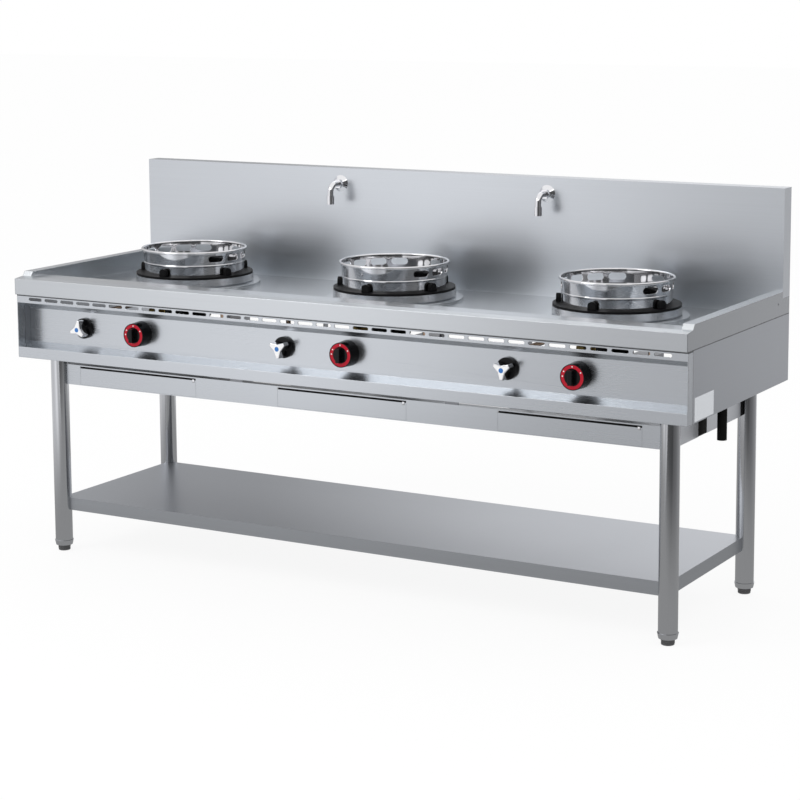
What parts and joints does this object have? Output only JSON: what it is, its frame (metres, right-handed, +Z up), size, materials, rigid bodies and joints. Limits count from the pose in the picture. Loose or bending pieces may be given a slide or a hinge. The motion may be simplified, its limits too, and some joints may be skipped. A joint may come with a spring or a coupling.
{
  "type": "wok range",
  "caption": "Free-standing stainless wok range: sunken worktop with chrome wok rings on cast-iron rings, splashback with wall spouts, gas knobs, water taps, drip trays, undershelf.",
  "frame": {"origin": "on the floor below the middle of the range's box", "axes": "+X to the range's right end, +Y to the wall behind the splashback, +Z up"},
  "size_m": [2.05, 0.7, 1.09],
  "materials": {
    "brushed_steel": "brushed along the sheet",
    "leg_tube": "satin tube",
    "collar_steel": "turned satin",
    "frame_steel": "mill finish",
    "foot_steel": "satin",
    "polished_chrome": "mirror polish",
    "tap_chrome": "mirror polish",
    "cast_iron": "black enamelled casting",
    "black_knob": "smooth black",
    "red_ring": "printed red",
    "brass_fittings": "machined",
    "galvanised_pipe": "zinc grey",
    "bright_pipe": "drawn tube",
    "black_rubber": "dull black",
    "foot_plastic": "grey moulded",
    "plate_foil": "blank silver foil"
  },
  "bodies": {
    "range": {"apron_front": "brushed_steel", "apron_hangers": "frame_steel", "apron_rear": "brushed_steel", "apron_sides": "brushed_steel", "blank_data_plate": "plate_foil", "body_posts": "frame_steel", "burner_collars": "collar_steel", "burner_cradles": "frame_steel", "burners": "cast_iron", "fascia": "brushed_steel", "foot_sleeves": "foot_steel", "frame_front": "frame_steel", "frame_rear": "frame_steel", "frame_sides": "frame_steel", "gas_feed_pipes": "bright_pipe", "gas_injectors": "brass_fittings", "gas_manifold": "galvanised_pipe", "gas_valves": "brass_fittings", "leg_sockets": "frame_steel", "legs": "leg_tube", "pilots_and_thermocouples": "bright_pipe", "rinse_nozzle": "brass_fittings", "shelf_stiffeners": "frame_steel", "side_panel_left": "brushed_steel", "side_panel_right": "brushed_steel", "splashback": "brushed_steel", "splashback_rear": "brushed_steel", "spout_nozzles": "tap_chrome", "tap_roses": "black_knob", "tray_runners": "frame_steel", "undershelf": "brushed_steel", "wall_spouts": "tap_chrome", "waste_pipe": "black_rubber", "water_manifold": "galvanised_pipe", "water_pipes": "bright_pipe", "water_valves": "brass_fittings", "worktop": "brushed_steel", "worktop_ribs": "frame_steel"},
    "drip_tray_centre": {"drip_tray_centre": "brushed_steel"},
    "drip_tray_left": {"drip_tray_left": "brushed_steel"},
    "drip_tray_right": {"drip_tray_right": "brushed_steel"},
    "foot_front_left": {"foot_front_left": "foot_plastic"},
    "foot_front_right": {"foot_front_right": "foot_plastic"},
    "foot_rear_left": {"foot_rear_left": "foot_plastic"},
    "foot_rear_right": {"foot_rear_right": "foot_plastic"},
    "gas_knob_centre": {"gas_knob_centre": "black_knob", "knob_scale_ring_centre": "red_ring"},
    "gas_knob_left": {"gas_knob_left": "black_knob", "knob_scale_ring_left": "red_ring"},
    "gas_knob_right": {"gas_knob_right": "black_knob", "knob_scale_ring_right": "red_ring"},
    "pan_ring_centre": {"pan_ring_centre": "cast_iron"},
    "pan_ring_left": {"pan_ring_left": "cast_iron"},
    "pan_ring_right": {"pan_ring_right": "cast_iron"},
    "tap_handle_centre": {"tap_handle_centre": "tap_chrome"},
    "tap_handle_left": {"tap_handle_left": "tap_chrome"},
    "tap_handle_right": {"tap_handle_right": "tap_chrome"},
    "wok_ring_centre": {"wok_ring_centre": "polished_chrome"},
    "wok_ring_left": {"wok_ring_left": "polished_chrome"},
    "wok_ring_right": {"wok_ring_right": "polished_chrome"}
  },
  "joints": [
    {"name": "tray_slide_left", "type": "slide", "parent": "range", "child": "drip_tray_left", "axis": [0, -1, 0], "range_m": [0, 0.4]},
    {"name": "tray_slide_centre", "type": "slide", "parent": "range", "child": "drip_tray_centre", "axis": [0, -1, 0], "range_m": [0, 0.4]},
    {"name": "tray_slide_right", "type": "slide", "parent": "range", "child": "drip_tray_right", "axis": [0, -1, 0], "range_m": [0, 0.4]},
    {"name": "foot_height_front_left", "type": "slide", "parent": "range", "child": "foot_front_left", "axis": [0, 0, -1], "range_m": [0, 0.03]},
    {"name": "foot_height_front_right", "type": "slide", "parent": "range", "child": "foot_front_right", "axis": [0, 0, -1], "range_m": [0, 0.03]},
    {"name": "foot_height_rear_left", "type": "slide", "parent": "range", "child": "foot_rear_left", "axis": [0, 0, -1], "range_m": [0, 0.03]},
    {"name": "foot_height_rear_right", "type": "slide", "parent": "range", "child": "foot_rear_right", "axis": [0, 0, -1], "range_m": [0, 0.03]},
    {"name": "pan_ring_lift_left", "type": "slide", "parent": "range", "child": "pan_ring_left", "axis": [0, 0, 1], "range_m": [0, 0.12]},
    {"name": "wok_ring_lift_left", "type": "slide", "parent": "pan_ring_left", "child": "wok_ring_left", "axis": [0, 0, 1], "range_m": [0, 0.12]},
    {"name": "gas_knob_turn_left", "type": "hinge", "parent": "range", "child": "gas_knob_left", "pos_m": [-0.628, -0.29, 0.664], "axis": [0, -1, 0], "range_deg": [0, 210]},
    {"name": "tap_turn_left", "type": "hinge", "parent": "range", "child": "tap_handle_left", "pos_m": [-0.825, -0.29, 0.664], "axis": [0, -1, 0], "range_deg": [0, 540]},
    {"name": "pan_ring_lift_centre", "type": "slide", "parent": "range", "child": "pan_ring_centre", "axis": [0, 0, 1], "range_m": [0, 0.12]},
    {"name": "wok_ring_lift_centre", "type": "slide", "parent": "pan_ring_centre", "child": "wok_ring_centre", "axis": [0, 0, 1], "range_m": [0, 0.12]},
    {"name": "gas_knob_turn_centre", "type": "hinge", "parent": "range", "child": "gas_knob_centre", "pos_m": [0.042, -0.29, 0.664], "axis": [0, -1, 0], "range_deg": [0, 210]},
    {"name": "tap_turn_centre", "type": "hinge", "parent": "range", "child": "tap_handle_centre", "pos_m": [-0.155, -0.29, 0.664], "axis": [0, -1, 0], "range_deg": [0, 540]},
    {"name": "pan_ring_lift_right", "type": "slide", "parent": "range", "child": "pan_ring_right", "axis": [0, 0, 1], "range_m": [0, 0.12]},
    {"name": "wok_ring_lift_right", "type": "slide", "parent": "pan_ring_right", "child": "wok_ring_right", "axis": [0, 0, 1], "range_m": [0, 0.12]},
    {"name": "gas_knob_turn_right", "type": "hinge", "parent": "range", "child": "gas_knob_right", "pos_m": [0.712, -0.29, 0.664], "axis": [0, -1, 0], "range_deg": [0, 210]},
    {"name": "tap_turn_right", "type": "hinge", "parent": "range", "child": "tap_handle_right", "pos_m": [0.515, -0.29, 0.664], "axis": [0, -1, 0], "range_deg": [0, 540]}
  ]
}
